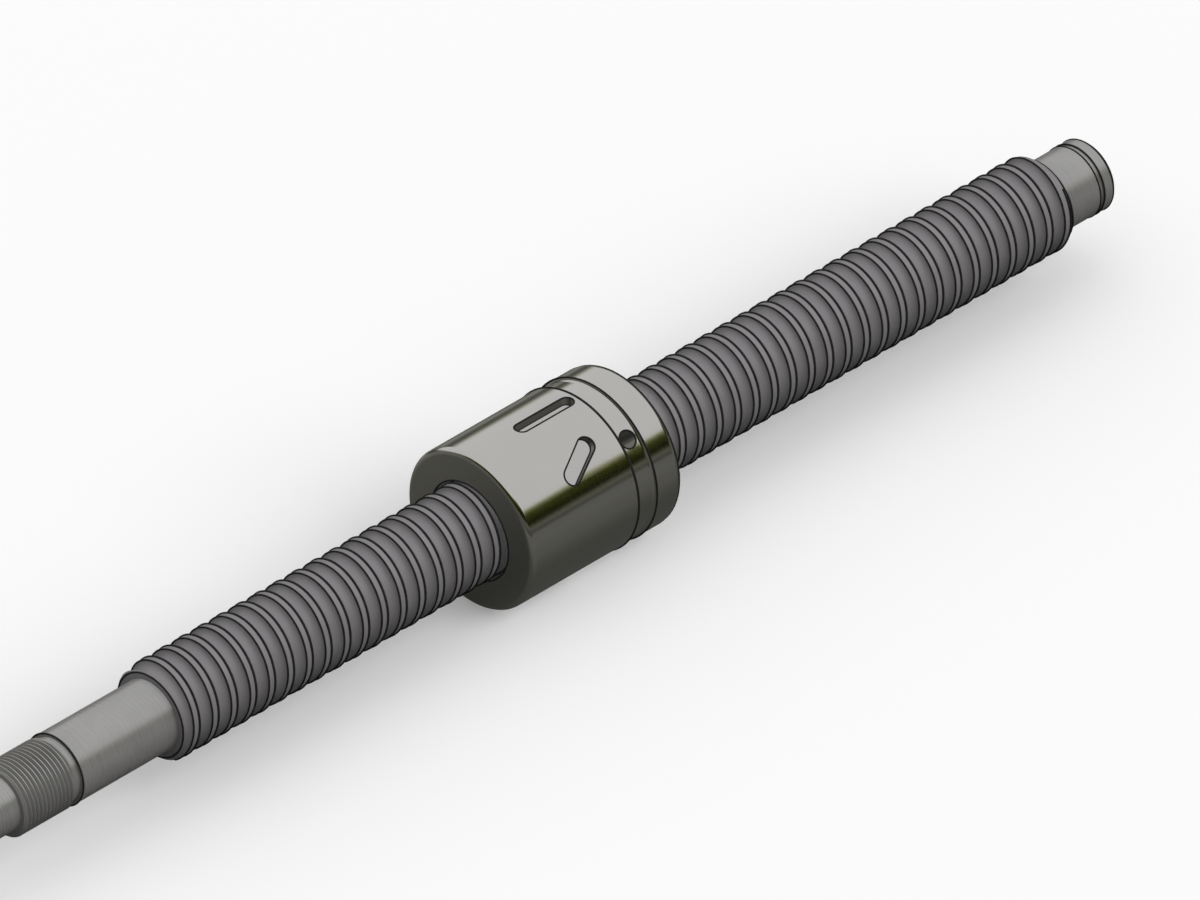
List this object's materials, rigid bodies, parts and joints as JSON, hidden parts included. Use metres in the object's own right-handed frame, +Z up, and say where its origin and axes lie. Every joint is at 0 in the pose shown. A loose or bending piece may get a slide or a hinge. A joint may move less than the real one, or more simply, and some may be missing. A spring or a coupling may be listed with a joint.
{
  "type": "ball screw",
  "caption": "Left-hand ball screw with a cylindrical ball nut that has a key seat, an oil groove and internal ball return, on a screw with machined bearing journals.",
  "frame": {"origin": "on the screw axis, at the shoulder of the driven end where the fixed bearing journal starts", "axes": "+X along the screw axis from the driven end to the floating end, +Z up through the nut's key seat"},
  "size_m": [0.315, 0.034, 0.034],
  "materials": {
    "screw_steel": "induction hardened and ground, matte grey",
    "nut_steel": "case hardened and ground, bright",
    "insert_steel": "sintered steel, ground flush",
    "ball_steel": "polished bearing steel",
    "wiper_plastic": "moulded polymer"
  },
  "bodies": {
    "screw": {"screw_shaft": "screw_steel"},
    "wipers": {"front_wiper": "wiper_plastic", "rear_wiper": "wiper_plastic"},
    "nut": {"nut_body": "nut_steel", "return_insert_1": "insert_steel", "circuit_1_loaded_balls": "ball_steel", "circuit_1_return_ball_1": "ball_steel", "circuit_1_return_ball_2": "ball_steel", "circuit_1_return_ball_3": "ball_steel", "circuit_1_return_ball_4": "ball_steel", "return_insert_2": "insert_steel", "circuit_2_loaded_balls": "ball_steel", "circuit_2_return_ball_1": "ball_steel", "circuit_2_return_ball_2": "ball_steel", "circuit_2_return_ball_3": "ball_steel", "circuit_2_return_ball_4": "ball_steel", "return_insert_3": "insert_steel", "circuit_3_loaded_balls": "ball_steel", "circuit_3_return_ball_1": "ball_steel", "circuit_3_return_ball_2": "ball_steel", "circuit_3_return_ball_3": "ball_steel", "circuit_3_return_ball_4": "ball_steel"}
  },
  "joints": [
    {"name": "nut_travel", "type": "slide", "parent": "screw", "child": "wipers", "axis": [1, 0, 0], "range_m": [-0.08, 0.11]},
    {"name": "nut_turn", "type": "hinge", "parent": "wipers", "child": "nut", "pos_m": [0.105, 0, 0], "axis": [1, 0, 0], "range_deg": [-7920, 5760]}
  ],
  "couplings": [
    {"joint": "nut_travel", "follows": "nut_turn", "m_per_rad": -0.00079577}
  ]
}
